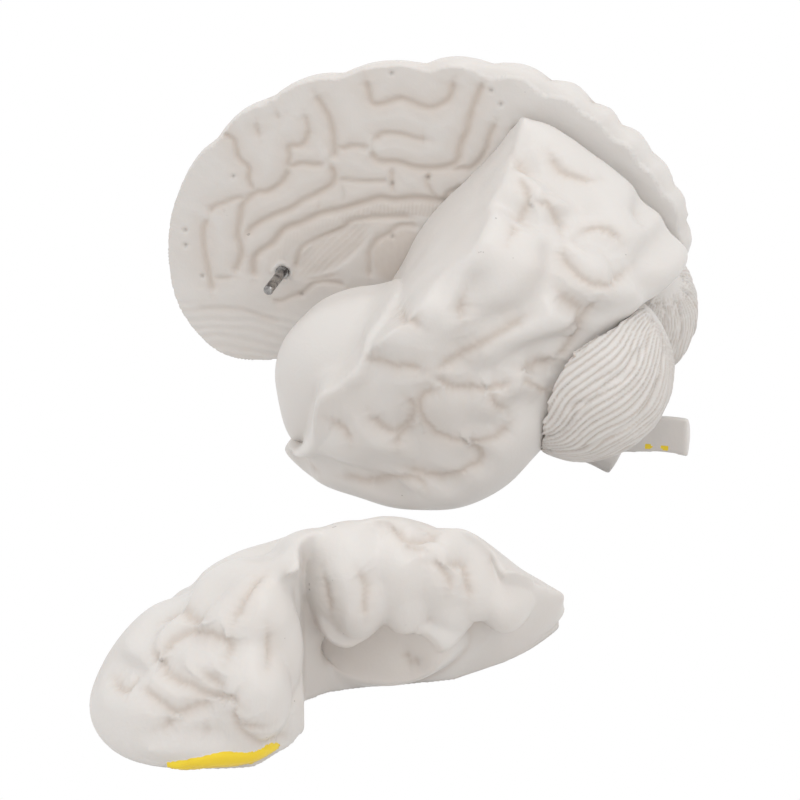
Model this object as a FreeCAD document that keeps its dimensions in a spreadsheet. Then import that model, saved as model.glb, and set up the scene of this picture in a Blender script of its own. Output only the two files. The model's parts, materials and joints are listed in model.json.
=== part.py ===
import FreeCAD, Part
import math
import os

# Life-size brain anatomy model in three main parts. The far (right) half stands upright, the near
# rear-lower part is fitted to it on pins, and the near front-upper part lies taken off beside it.
# Forehead toward -X, brain's left side toward -Y, crown toward +Z. The parting plane of the two
# halves is Y = 0 and the table top is Z = 0, until the whole set is moved to its own middle.
Vec = FreeCAD.Vector
doc = FreeCAD.newDocument("brain_model")
sheet = doc.addObject("Spreadsheet::Sheet", "sizes")

SIZES = {
    "brain_length": 169.0,
    "brain_height": 129.5,
    "half_width": 60.0,
    "fold_depth": 6.0,
    "fold_reach": 3.6,
    "part_gap": 0.3,
    "insula_length": 68.0,
    "insula_depth": 52.0,
    "insula_height": 58.0,
    "front_pin_diameter": 3.0,
    "front_pin_reach": 15.0,
    "front_pin_seat": 8.0,
    "guide_pin_diameter": 4.0,
    "guide_pin_reach": 12.0,
    "guide_pin_seat": 6.0,
    "pin_shoulder": 0.5,
    "pin_clearance": 0.05,
    "bore_spare": 1.0,
    "groove_width": 1.7,
    "stem_diameter": 13.0,
    "cerebellum_folds": 36.0,
    "cerebellum_fold_depth": 1.1,
    "tract_width": 4.6,
    "tract_length": 32.0,
    "inner_wall": 5.0,
    "rear_part_step": 11.5,
    "off_part_distance": 219.0,
    "off_part_shift": 33.5,
}
for row, (alias, value) in enumerate(SIZES.items(), start=1):
    sheet.set("A%d" % row, alias)
    sheet.set("B%d" % row, str(value))
    sheet.setAlias("B%d" % row, alias)
doc.recompute()


def size(alias):
    """Current value of one driving size, in mm or degrees."""
    return float(sheet.get(alias))


# Places are given in mm on a model of these overall sizes, and follow the sheet's sizes.
DRAWN_LENGTH = 169.0
DRAWN_HEIGHT = 129.5
DRAWN_HALF_WIDTH = 60.0
LONG = size("brain_length") / DRAWN_LENGTH
HIGH = size("brain_height") / DRAWN_HEIGHT
WIDE = size("half_width") / DRAWN_HALF_WIDTH
LEFT, RIGHT = -1, 1
# The near rear part stands lower along the top of its inner edge than the far half does.
LOWER = size("rear_part_step")
FAR_HALF, NEAR_FRONT, NEAR_REAR = (RIGHT, 0.0), (LEFT, 0.0), (LEFT, LOWER)
FULL_TURN = 2 * math.pi


def place(x, y, z):
    """A point drawn on the standard model, on the model of the sheet's sizes."""
    return Vec(x * LONG, y * WIDE, z * HIGH)


# Outline of one half of the cerebrum in the parting plane, and of its temporal lobe seen from the
# side, as (X, Z) points that a smooth curve joins. Both are star-shaped about the same axis.
AXIS_X, AXIS_Z = 5.0, 64.0
CEREBRUM = [(-85.5, 57), (-83.5, 71), (-76.5, 87), (-65.5, 101), (-49, 114), (-30, 122), (-10, 127.5),
            (10, 129.5), (30, 128), (47, 122.5), (61, 112), (73, 98), (81.5, 84), (81, 74), (70, 66),
            (45, 60), (25, 54), (5, 44), (-15, 37), (-30, 33), (-46, 27.5), (-62, 25), (-75, 31), (-83, 43)]
TEMPORAL = [(-31, 40), (-38, 26), (-39, 13), (-31, 4), (-14, 0.3), (5, 0), (20, 3), (34, 12), (43, 23),
            (51, 35), (59, 49), (67, 62), (77, 72)]
LOBE_INNER = 12.0
LOBE_FULL = 30.0
LOBE_SQUARENESS = 5.0
LOBE_MIDDLE, LOBE_SPREAD = -70.0, 84.0
LOBE_BLEND = 6.0
CROWN_SQUARENESS, FRONT_SQUARER, REAR_SQUARER = 1.55, 0.15, 0.55
EDGE_ROUND = 2.5
REAR_EDGE_ROUND = 4.0
STEP_MIDDLE, STEP_SPREAD, STEP_OUTWARD = 52.0, 58.0, 48.0
DEPTH_STEP = 0.5


def polar(points):
    """Angle and radius of outline points about the axis, in order of angle."""
    return sorted((math.atan2(z - AXIS_Z, x - AXIS_X), math.hypot(x - AXIS_X, z - AXIS_Z)) for x, z in points)


def turn_from(angle, start):
    """The same direction, as an angle in the full turn that begins at start."""
    return start + (angle - start) % FULL_TURN


def cubic(before, first, second, after, angle):
    """Smooth radius between two outline points, from their neighbours' slopes."""
    span = second[0] - first[0]
    slope_in = (second[1] - before[1]) / (second[0] - before[0]) * span
    slope_out = (after[1] - first[1]) / (after[0] - first[0]) * span
    t = (angle - first[0]) / span
    return ((2 * t**3 - 3 * t**2 + 1) * first[1] + (t**3 - 2 * t**2 + t) * slope_in
            + (3 * t**2 - 2 * t**3) * second[1] + (t**3 - t**2) * slope_out)


def closed_radius(outline, angle):
    """Radius of a closed outline at an angle."""
    count = len(outline)
    angle = turn_from(angle, outline[0][0])

    def knot(index):
        return outline[index % count][0] + (index // count) * FULL_TURN, outline[index % count][1]

    index = 0
    while knot(index + 1)[0] < angle:
        index += 1
    return cubic(knot(index - 1), knot(index), knot(index + 1), knot(index + 2), angle)


def lobe_radius(outline, angle):
    """Radius of an open outline at an angle, and nothing beyond its ends."""
    angle = turn_from(angle, -math.pi)
    if not outline[0][0] < angle < outline[-1][0]:
        return 0.0
    step = 0.1
    knots = [(outline[0][0] - step, outline[0][1])] + outline + [(outline[-1][0] + step, outline[-1][1])]
    index = 1
    while knots[index + 1][0] < angle:
        index += 1
    return cubic(knots[index - 1], knots[index], knots[index + 1], knots[index + 2], angle)


CEREBRUM_POLAR = polar(CEREBRUM)
TEMPORAL_POLAR = polar(TEMPORAL)


def rounded(share, power):
    """Height of a unit superellipse at a share of its width."""
    return max(0.0, 1 - min(share, 1.0)**power)**(1 / power)


def hump(angle, centre, half):
    """Smooth rise to 1 at a centre angle, from 0 at half a width away. Angles in degrees."""
    off = abs((math.degrees(angle) - centre + 180) % 360 - 180) / half
    return 0.0 if off >= 1 else (1 - off * off)**2


def half_radius(angle, y, form):
    """Distance of the smooth surface of one form from its axis, at an angle and a distance y outward."""
    drop = form[1]
    share = y / DRAWN_HALF_WIDTH
    along = math.cos(angle)
    squareness = CROWN_SQUARENESS + (REAR_SQUARER if along > 0 else FRONT_SQUARER) * along**2
    main = closed_radius(CEREBRUM_POLAR, angle) * rounded(share, squareness)
    lobe_squareness = squareness + (LOBE_SQUARENESS - squareness) * hump(angle, LOBE_MIDDLE, LOBE_SPREAD)
    lobe = lobe_radius(TEMPORAL_POLAR, angle) * rounded(share, lobe_squareness)
    if y < LOBE_FULL:
        lobe *= rounded(max(0.0, (LOBE_FULL - y) / (LOBE_FULL - LOBE_INNER)), 2)
    near = max(0.0, LOBE_BLEND * rounded(share, 4) - abs(main - lobe)) / LOBE_BLEND
    radius = max(main, lobe) + LOBE_BLEND * near**2 / 4
    edge = EDGE_ROUND + REAR_EDGE_ROUND * hump(angle, STEP_MIDDLE, STEP_SPREAD)
    radius -= drop * hump(angle, STEP_MIDDLE, STEP_SPREAD) * rounded(y / STEP_OUTWARD, 2)
    if y < edge:
        radius -= edge - math.sqrt(edge**2 - (edge - y)**2)
    return max(radius, 0.0)


def half_point(angle, y, form):
    """Point of the smooth surface, drawn size."""
    radius = half_radius(angle, y, form)
    return AXIS_X + radius * math.cos(angle), form[0] * y, AXIS_Z + radius * math.sin(angle)


def surface_depth(x, z, form):
    """How far out the smooth surface lies under a point seen from the side."""
    angle = math.atan2(z - AXIS_Z, x - AXIS_X)
    reach = math.hypot(x - AXIS_X, z - AXIS_Z)
    y = DRAWN_HALF_WIDTH
    while y > 0 and half_radius(angle, y, form) < reach:
        y -= DEPTH_STEP
    return max(y, 0.0)


# Furrows between the folds, each as a few (X, Z) places seen from the side of the model.
REAR_FURROWS = {
    "upper_edge": [(34, 110), (45, 103), (55, 97), (46, 95)],
    "upper_occipital": [(51, 93), (57, 90), (64, 86), (67, 77)],
    "round_occipital_fold": [(46, 90), (48, 83), (53, 75), (60, 70), (67, 71)],
    "angular": [(47, 83), (41, 75), (29, 71), (24, 67), (18, 60), (17, 55)],
    "short_angular": [(26, 83), (24, 78), (25, 73)],
    "upper_temporal": [(18, 55), (33, 56), (41, 62), (50, 64), (58, 66)],
    "short_temporal": [(42, 61), (45, 56), (50, 52)],
    "middle_temporal": [(13, 52), (14, 44), (22, 40), (34, 38), (39, 46), (45, 42)],
    "lower_temporal": [(8, 37), (10, 29), (20, 27), (30, 30)],
    "temporal_base": [(-4, 22), (6, 23), (14, 21), (21, 17)],
    "temporal_top": [(-6, 60), (7, 58), (18, 56)],
    "temporal_pole": [(-28, 13), (-18, 18), (-4, 16), (8, 10)],
    "front_temporal": [(-23, 32), (-17, 38), (-6, 45), (-1, 52)],
    "occipital_pole": [(78, 88), (70, 82), (74, 72)],
}
FRONT_FURROWS = {
    "central": [(18, 129), (10, 110), (2, 92), (-6, 74)],
    "before_central": [(-2, 129), (-10, 108), (-20, 90), (-26, 72)],
    "upper_frontal": [(-12, 108), (-32, 104), (-52, 94), (-66, 80)],
    "lower_frontal": [(-24, 84), (-40, 80), (-56, 72), (-70, 60)],
    "frontal_end": [(-80, 74), (-66, 72), (-62, 58), (-72, 44)],
    "opercular": [(-38, 62), (-46, 74), (-44, 84)],
    "lower_front_edge": [(-36, 50), (-52, 52), (-60, 42), (-58, 30)],
    "orbital": [(-76, 44), (-68, 36), (-58, 40), (-46, 34)],
    "top_front": [(-28, 123), (-24, 112), (-32, 104)],
    "top_middle_front": [(-50, 114), (-44, 102), (-52, 94)],
    "top_low_front": [(-68, 100), (-60, 90), (-66, 80)],
}
TOP_REAR_FURROWS = {
    "behind_central": [(36, 128), (28, 108), (20, 92), (14, 76)],
    "inner_parietal": [(26, 104), (42, 96), (51, 93)],
    "first_edge": [(50, 122), (44, 112)],
    "second_edge": [(59, 115), (51, 106)],
    "third_edge": [(68, 106), (59, 98)],
    "fourth_edge": [(75, 97), (65, 90)],
    "fifth_edge": [(82, 85), (70, 81)],
}
ALL_FURROWS = {**REAR_FURROWS, **FRONT_FURROWS, **TOP_REAR_FURROWS}
FURROW_STEPS = 4
RINGS, SPOKES, DEGREE = 34, 120, 3


def furrow_lines(form):
    """Short straight stretches that follow the furrows over the smooth surface."""
    stretches = []
    for points in ALL_FURROWS.values():
        line = []
        for start, end in zip(points, points[1:]):
            for step in range(FURROW_STEPS):
                x = start[0] + step / FURROW_STEPS * (end[0] - start[0])
                z = start[1] + step / FURROW_STEPS * (end[1] - start[1])
                line.append(half_point(math.atan2(z - AXIS_Z, x - AXIS_X), surface_depth(x, z, form), form))
        stretches += list(zip(line, line[1:]))
    return stretches


def distance_to_stretch(point, stretch):
    """Square of the distance from a point to a straight stretch."""
    start, end = stretch
    way = [e - s for s, e in zip(start, end)]
    off = [p - s for s, p in zip(start, point)]
    length = sum(w * w for w in way)
    share = min(1.0, max(0.0, sum(w * o for w, o in zip(way, off)) / length)) if length else 0.0
    return sum((o - share * w)**2 for w, o in zip(way, off))


def furrow_drop(point, stretches):
    """How far the surface sinks at a point, from the nearest furrow."""
    nearest = min(distance_to_stretch(point, stretch) for stretch in stretches)
    return size("fold_depth") * math.exp(-nearest / size("fold_reach")**2)


def half_rows(form, stretches, grow, flat):
    """Rings of control points of one half, from its flat inner face at y = flat out to the side."""
    rows = []
    for ring in range(RINGS):
        lean = ring / (RINGS - 1) * math.pi / 2
        row = []
        for spoke in range(SPOKES):
            angle = FULL_TURN * spoke / SPOKES
            point = half_point(angle, DRAWN_HALF_WIDTH * math.sin(lean), form)
            inward = (furrow_drop(point, stretches) if stretches else 0.0) - grow
            x = point[0] - inward * math.cos(lean) * math.cos(angle)
            y = point[1] - form[0] * inward * math.sin(lean)
            z = point[2] - inward * math.cos(lean) * math.sin(angle)
            row.append(place(x, y, z) + Vec(0, flat, 0))
        rows.append(row)
    return rows


def smooth_skin(rows, across_degree, around_degree):
    """Face through rings of control points that close on themselves."""
    rings, spokes = len(rows), len(rows[0])
    skin = Part.BSplineSurface()
    knots = [across_degree + 1] + [1] * (rings - across_degree - 1) + [across_degree + 1]
    skin.buildFromPolesMultsKnots(rows, knots, [1] * (spokes + 1), list(range(rings - across_degree + 1)),
                                  list(range(spokes + 1)), False, True, across_degree, around_degree)
    return skin.toShape()


def outward_solid(faces):
    """Solid inside a closed set of faces."""
    shell = Part.Shell(faces)
    if len(faces) > 1:
        shell.sewShape()
    solid = Part.Solid(shell)
    if solid.Volume < 0:
        solid.reverse()
    return solid


def closed_half(rows):
    """Solid between a smooth skin and the plane of its first ring."""
    skin = smooth_skin(rows, DEGREE, DEGREE)
    flat = rows[0][0].y
    rim = [e for e in skin.Edges if max(abs(e.BoundBox.YMax - flat), abs(e.BoundBox.YMin - flat)) < 1e-6]
    return outward_solid([skin, Part.Face(Part.Wire(rim))])


def feature(name, shape):
    """Document object whose shape is worked out here."""
    made = doc.addObject("Part::Feature", name)
    made.Shape = shape
    return made


def bound(kind, name, base, **sizes):
    """Primitive at a place, with its sizes bound to the sheet."""
    made = doc.addObject("Part::%s" % kind, name)
    for prop, formula in sizes.items():
        made.setExpression(prop, formula)
    made.Placement.Base = base
    return made


def joined(kind, name, base, tool):
    """Boolean of two objects: Cut, Common or Fuse."""
    made = doc.addObject("Part::%s" % kind, name)
    made.Base, made.Tool = base, tool
    return made


GAP = size("part_gap")
FLAT = {RIGHT: 0.0, LEFT: -GAP}


def half_of_cerebrum(name, form, folded=True, grow=0.0):
    stretches = furrow_lines(form) if folded else None
    return feature(name, closed_half(half_rows(form, stretches, grow, FLAT[form[0]])))


right_dome = half_of_cerebrum("right_dome", FAR_HALF)
front_dome = half_of_cerebrum("front_dome", NEAR_FRONT)
rear_dome = half_of_cerebrum("rear_dome", NEAR_REAR)

# Cut between the near front part and the near rear part: a wall ruled between a line in the parting
# plane and a line far out to the side, each as (X, Z) places.
WALL_INNER = [(-60, -32), (-38, 8), (-22, 38), (-11, 60), (-1, 79), (10, 92), (21, 105), (27, 116), (36, 150)]
WALL_OUTER = [(-56, -32), (-36, 8), (-20, 36), (-6, 59), (12, 77), (30, 93), (38, 104), (48, 116), (66, 150)]
WALL_OUTER_Y = -60.0
BLOCK_BACK, BLOCK_SIDE, BLOCK_NEAR = 140.0, 90.0, 10.0


def rear_block(name, shift):
    """Everything behind the cut, moved forward or back by a shift."""
    sections = []
    for y in (BLOCK_NEAR, -BLOCK_SIDE):
        share = y / WALL_OUTER_Y
        line = [place(a[0] + share * (b[0] - a[0]), y, a[1] + share * (b[1] - a[1])) + Vec(shift, 0, 0)
                for a, b in zip(WALL_INNER, WALL_OUTER)]
        curve = Part.BSplineCurve()
        curve.interpolate(line)
        corners = [line[-1], place(BLOCK_BACK, y, WALL_INNER[-1][1]),
                   place(BLOCK_BACK, y, WALL_INNER[0][1]), line[0]]
        sections.append(Part.Wire([curve.toShape()] + Part.makePolygon(corners).Edges))
    return feature(name, Part.makeLoft(sections, True, True))


INSULA_CENTRE = (-8.0, -31.0, 40.0)


def insula(name, grow):
    """Egg-shaped bulge under the lid of the front part."""
    extra = " + %g mm" % grow if grow else ""
    return bound("Ellipsoid", name, place(*INSULA_CENTRE),
                 Radius1="sizes.insula_height * 0.5 mm%s" % extra,
                 Radius2="sizes.insula_length * 0.5 mm%s" % extra,
                 Radius3="sizes.insula_depth * 0.5 mm%s" % extra)


# Brain stem: round sections along a line from the midbrain over the pons to the cut stump, as
# (X, Z, radius). The far half ends in the long stump, the near half in the short one.
STEM_TOP = [(6, 47, 8.0), (10, 37, 10.5), (16, 26, 13.0), (28, 17, 9.5), (42, 13.5, 7.5)]
STEM_END = {RIGHT: [(60, 14, 6.5), (81, 14.8, 6.5)], LEFT: [(52, 10.5, 6.8), (60, 6.6, 6.2)]}


def stem(name, side, grow=0.0):
    """One half of the brain stem."""
    sections = STEM_TOP + STEM_END[side]
    scale = size("stem_diameter") / 13.0
    rings = []
    for index, (x, z, radius) in enumerate(sections):
        before = sections[max(index - 1, 0)]
        after = sections[min(index + 1, len(sections) - 1)]
        along = place(after[0], 0, after[1]) - place(before[0], 0, before[1])
        centre = place(x, 0, z)
        if grow and index == len(sections) - 1:
            centre += along.normalize() * grow
        rings.append(Part.Wire(Part.makeCircle(radius * scale + grow, centre, along)))
    whole = Part.makeLoft(rings, True)
    low = FLAT[side] if side == RIGHT else -BLOCK_SIDE
    return feature(name, whole.common(Part.makeBox(300, BLOCK_SIDE + FLAT[side] * (side == LEFT), 200,
                                                   Vec(-100, low, -50))))


# Cerebellum: an egg whose flutes run from a low front corner to a high rear one, like leaves of a book.
CEREBELLUM_CENTRE = (53.0, 25.0, 45.0)
CEREBELLUM_AXIS = (38.0, -26.0, 40.0)
CEREBELLUM_REACH = (27.0, 26.0, 25.0)
LEAF_RINGS = 14


def cerebellum(name, side):
    """One whole egg with its leaves, before it is trimmed to the parts round it."""
    axis = Vec(CEREBELLUM_AXIS[0], side * CEREBELLUM_AXIS[1], CEREBELLUM_AXIS[2]).normalize()
    first = axis.cross(Vec(0, side, 0)).normalize()
    second = axis.cross(first)
    centre = place(CEREBELLUM_CENTRE[0], side * CEREBELLUM_CENTRE[1], CEREBELLUM_CENTRE[2])
    leaves = 2 * int(size("cerebellum_folds"))
    rows = []
    for ring in range(LEAF_RINGS):
        lean = math.pi * ring / (LEAF_RINGS - 1)
        girth = math.sin(lean)
        row = []
        for leaf in range(leaves):
            angle = FULL_TURN * leaf / leaves
            ridge = size("cerebellum_fold_depth") * (0.5 if leaf % 2 else -0.5)
            point = (axis * (-CEREBELLUM_REACH[0] * LONG * math.cos(lean))
                     + first * ((CEREBELLUM_REACH[1] + ridge) * LONG * girth * math.cos(angle))
                     + second * ((CEREBELLUM_REACH[2] + ridge) * LONG * girth * math.sin(angle)))
            row.append(centre + point)
        rows.append(row)
    return feature(name, outward_solid([smooth_skin(rows, DEGREE, 2)]))


right_dome_room = half_of_cerebrum("right_dome_room", FAR_HALF, False, GAP)
left_dome_room = half_of_cerebrum("left_dome_room", NEAR_REAR, False, GAP)
right_stem_room = stem("right_stem_room", RIGHT, GAP)
left_stem_room = stem("left_stem_room", LEFT, GAP)


def half_space(name, side):
    low = FLAT[side] if side == RIGHT else -BLOCK_SIDE
    return bound("Box", name, Vec(-150, low, -50), Length="300 mm",
                 Width="90 mm - %d * sizes.part_gap * 1 mm" % (side == LEFT), Height="250 mm")


pieces = {}
MEASURING_STEP = 0.4


def true_box(shape):
    """Bounds of the trimmed shape itself, taken from points all over it."""
    bounds = FreeCAD.BoundBox()
    for point in shape.copy().tessellate(MEASURING_STEP)[0]:
        bounds.add(point)
    return bounds


def finish(made, label):
    made.Label = label
    pieces[label] = made
    return made


def blind_bore(name, x, z, y_open, inward, diameter, depth, wider=""):
    """Drill along Y from the flat face into a part: inward is +1 or -1."""
    made = bound("Cylinder", name, place(x, 0, z) + Vec(0, y_open - inward * 1.0, 0),
                 Radius="(sizes.%s / 2 + sizes.pin_clearance%s) * 1 mm" % (diameter, wider),
                 Height="(sizes.%s + sizes.bore_spare + 1) * 1 mm" % depth)
    made.Placement.Rotation = FreeCAD.Rotation(Vec(1, 0, 0), -90 * inward)
    return made


def pin(name, x, z, diameter, seat, reach):
    """Steel locating pin along Y: a thicker root in the far half, and a free end with a bevelled tip."""
    root = bound("Cylinder", name + "_root", place(x, 0, z) + Vec(0, size(seat), 0),
                 Radius="(sizes.%s / 2 + sizes.pin_shoulder) * 1 mm" % diameter,
                 Height="sizes.%s * 1 mm" % seat)
    rod = bound("Cylinder", name + "_rod", place(x, 0, z) + Vec(0, size(seat) / 2, 0),
                Radius="sizes.%s * 0.5 mm" % diameter,
                Height="(sizes.%s / 2 + sizes.%s) * 1 mm" % (seat, reach))
    for part in (root, rod):
        part.Placement.Rotation = FreeCAD.Rotation(Vec(1, 0, 0), 90)
    core = joined("Fuse", name + "_core", root, rod)
    tip = doc.addObject("Part::Chamfer", name)
    tip.Base = core
    doc.recompute()
    bevel = size(diameter) / 8
    tip.Edges = [(index + 1, bevel, bevel) for index, edge in enumerate(core.Shape.Edges)
                 if edge.Curve.TypeId == "Part::GeomCircle" and abs(edge.Curve.Center.y + size(reach)) < 0.01]
    return finish(tip, name)


FRONT_PIN = (-47.0, 57.0)
UPPER_PIN = (38.0, 90.0)
LOWER_PIN = (64.0, 77.0)

# Grooves of the flat inner face of the far half, as smooth lines through (X, Z) places.
INNER_GROOVES = {
    "above_callosum": [(-56, 50), (-55, 60), (-50, 67), (-40, 74), (-28, 80), (-15, 83), (0, 85), (14, 84)],
    "below_callosum": [(-46, 52), (-43, 60), (-36, 68), (-26, 74), (-14, 77.5), (4, 79)],
}


def groove(name, points, width):
    """Round-bottomed groove along a smooth line in the parting plane."""
    curve = Part.BSplineCurve()
    curve.interpolate([place(x, 0, z) for x, z in points])
    path = Part.Wire(curve.toShape())
    start = curve.value(curve.FirstParameter)
    along = curve.tangent(curve.FirstParameter)[0]
    ring = Part.Wire(Part.makeCircle(width / 2, start, along))
    return feature(name, path.makePipeShell([ring], True, True))


def right_hemisphere():
    body = joined("Cut", "right_with_stem_room", right_dome, right_stem_room)
    for name, points in INNER_GROOVES.items():
        body = joined("Cut", "cut_" + name, body, groove(name, points, size("groove_width")))
    for name, (x, z), diameter, seat in (("front_seat", FRONT_PIN, "front_pin_diameter", "front_pin_seat"),
                                         ("upper_seat", UPPER_PIN, "guide_pin_diameter", "guide_pin_seat"),
                                         ("lower_seat", LOWER_PIN, "guide_pin_diameter", "guide_pin_seat")):
        hole = blind_bore(name, x, z, 0, 1, diameter, seat, " + sizes.pin_shoulder")
        body = joined("Cut", "cut_" + name, body, hole)
    return finish(body, "right_hemisphere")


def left_rear_lobe():
    body = joined("Common", "left_rear_dome", rear_dome, rear_block("rear_block", 0.0))
    bulge = joined("Common", "insula_left", insula("insula", 0.0), half_space("insula_side", LEFT))
    body = joined("Fuse", "left_rear_bulge", body, bulge)
    body = joined("Cut", "left_rear_stem", body, left_stem_room)
    for name, (x, z) in (("upper_bore", UPPER_PIN), ("lower_bore", LOWER_PIN)):
        body = joined("Cut", "cut_" + name, body,
                      blind_bore(name, x, z, -GAP, -1, "guide_pin_diameter", "guide_pin_reach"))
    return finish(body, "left_temporo_occipital_lobe")


# Lower limit of the near front part: (X, Z) places from the rear corner of its frontal lobe, along the
# arch over the insula, to the cut wall. Three rounded folds hang from the arch, and a long hollow
# under them leaves a thin wall at the parting plane.
ARCH = [(-41, -20), (-41, 26), (-34, 33), (-28, 44), (-27, 52), (-30, 60), (-31, 66), (-26, 72), (-18, 76.5),
        (-8, 80.5), (4, 86), (14, 91), (40, 60), (40, -20)]
HANGING_FOLDS = [(-20, -30, 76, 10, 15, 15), (-6, -30, 81, 7.5, 14, 12), (4, -29, 86, 7.5, 13, 12)]
HOLLOW = (-13, -14.5, 78, 17, 9.5, 14)
TRACT_CENTRE, TRACT_SLOPE = (-46.0, -6.0, 28.3), 14.0


def egg(name, x, y, z, along, out, up):
    """Ellipsoid of drawn half sizes along X, Y and Z."""
    return bound("Ellipsoid", name, place(x, y, z),
                 Radius1="sizes.brain_height / %g * %g mm" % (DRAWN_HEIGHT, up),
                 Radius2="sizes.brain_length / %g * %g mm" % (DRAWN_LENGTH, along),
                 Radius3="sizes.half_width / %g * %g mm" % (DRAWN_HALF_WIDTH, out))


def left_front_lobe():
    corners = [place(x, -BLOCK_SIDE, z) for x, z in ARCH]
    under = feature("under_arch", Part.Face(Part.makePolygon(corners + corners[:1])).extrude(
        Vec(0, (BLOCK_SIDE + BLOCK_NEAR) * WIDE, 0)))
    body = joined("Cut", "left_front_dome", front_dome, rear_block("front_limit", -GAP))
    body = joined("Cut", "left_front_arch", body, under)
    for index, fold in enumerate(HANGING_FOLDS):
        body = joined("Fuse", "with_fold_%d" % index, body, egg("hanging_fold_%d" % index, *fold))
    hollow = joined("Common", "hollow_outside_wall", egg("hollow", *HOLLOW),
                    bound("Box", "beyond_wall", Vec(-150, -BLOCK_SIDE, -50), Length="300 mm",
                          Width="(%g - sizes.inner_wall - sizes.part_gap) * 1 mm" % BLOCK_SIDE, Height="250 mm"))
    body = joined("Cut", "left_front_hollow", body, hollow)
    body = joined("Cut", "left_front_pocket", body, insula("insula_room", GAP))
    tract = bound("Ellipsoid", "olfactory_tract", place(*TRACT_CENTRE), Radius1="2 mm",
                  Radius2="sizes.tract_length * 0.5 mm", Radius3="sizes.tract_width * 0.5 mm")
    tract.Placement.Rotation = FreeCAD.Rotation(Vec(0, 1, 0), -TRACT_SLOPE)
    body = joined("Fuse", "left_front_tract", body, tract)
    body = joined("Cut", "cut_front_bore", body,
                  blind_bore("front_bore", *FRONT_PIN, -GAP, -1, "front_pin_diameter", "front_pin_reach"))
    return finish(body, "left_fronto_parietal_lobe")


def cerebellum_half(side, label, dome_room, stem_room):
    body = joined("Common", label + "_half", cerebellum(label + "_egg", side), half_space(label + "_side", side))
    body = joined("Cut", label + "_under_lobe", body, dome_room)
    return finish(joined("Cut", label + "_trimmed", body, stem_room), label)


right_hemisphere()
left_rear_lobe()
left_front_lobe()
cerebellum_half(RIGHT, "right_cerebellum", right_dome_room, right_stem_room)
cerebellum_half(LEFT, "left_cerebellum", left_dome_room, left_stem_room)
finish(stem("right_stem", RIGHT), "right_brainstem")
finish(stem("left_stem", LEFT), "left_brainstem")
pin("front_pin", *FRONT_PIN, "front_pin_diameter", "front_pin_seat", "front_pin_reach")
pin("upper_rear_pin", *UPPER_PIN, "guide_pin_diameter", "guide_pin_seat", "guide_pin_reach")
pin("lower_rear_pin", *LOWER_PIN, "guide_pin_diameter", "guide_pin_seat", "guide_pin_reach")
doc.recompute()

# The near front part lies on its flat face in front of the rest, with its crown away from the viewer.
OFF_PART = pieces["left_fronto_parietal_lobe"]
OFF_PART.Placement = FreeCAD.Placement(Vec(size("off_part_shift"), -size("off_part_distance"), -GAP),
                                       FreeCAD.Rotation(Vec(1, 0, 0), -90))
boxes = {label: true_box(piece.Shape) for label, piece in pieces.items()}
whole = FreeCAD.BoundBox()
for box in boxes.values():
    whole.add(box)
# The standing parts and the lying part each rest on the table at Z = 0.
standing_low = min(box.ZMin for label, box in boxes.items() if pieces[label] is not OFF_PART)
middle = Vec(whole.Center.x, whole.Center.y, standing_low)
moves = {label: Vec(0, 0, 0) - middle for label in pieces}
moves[OFF_PART.Label] = Vec(-whole.Center.x, -whole.Center.y, -boxes[OFF_PART.Label].ZMin)
for label, piece in pieces.items():
    piece.Placement.Base = piece.Placement.Base + moves[label]
doc.recompute()

for piece in doc.Objects:
    if "Invalid" in piece.State or "Error" in piece.State:
        raise RuntimeError("failed: " + piece.Name)
for label, piece in pieces.items():
    if piece.Shape.isNull() or not piece.Shape.isValid():
        raise RuntimeError("bad shape: " + label)

os.makedirs("parts", exist_ok=True)
for label, piece in pieces.items():
    piece.Shape.exportStep("parts/%s.step" % label)
    box = boxes[label]
    box.move(moves[label])
    print("%s: %d solid, %.0f mm3, X %.1f to %.1f, Y %.1f to %.1f, Z %.1f to %.1f" % (
        label, len(piece.Shape.Solids), piece.Shape.Volume, box.XMin, box.XMax, box.YMin,
        box.YMax, box.ZMin, box.ZMax))
front_bore = OFF_PART.Placement.multVec(place(FRONT_PIN[0], 0, FRONT_PIN[1]) + Vec(0, -GAP, 0))
pocket = OFF_PART.Placement.multVec(place(*HOLLOW[:3]))
pin_end = place(FRONT_PIN[0], 0, FRONT_PIN[1]) - Vec(0, size("front_pin_reach"), 0) - middle
print("front_pin end", pin_end, "bore mouth", front_bore, "pocket centre", pocket, "middle", middle)
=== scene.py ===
import json
import math

import bmesh
import bpy
import numpy as np
from mathutils import Matrix, Vector
from mathutils.kdtree import KDTree

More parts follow.
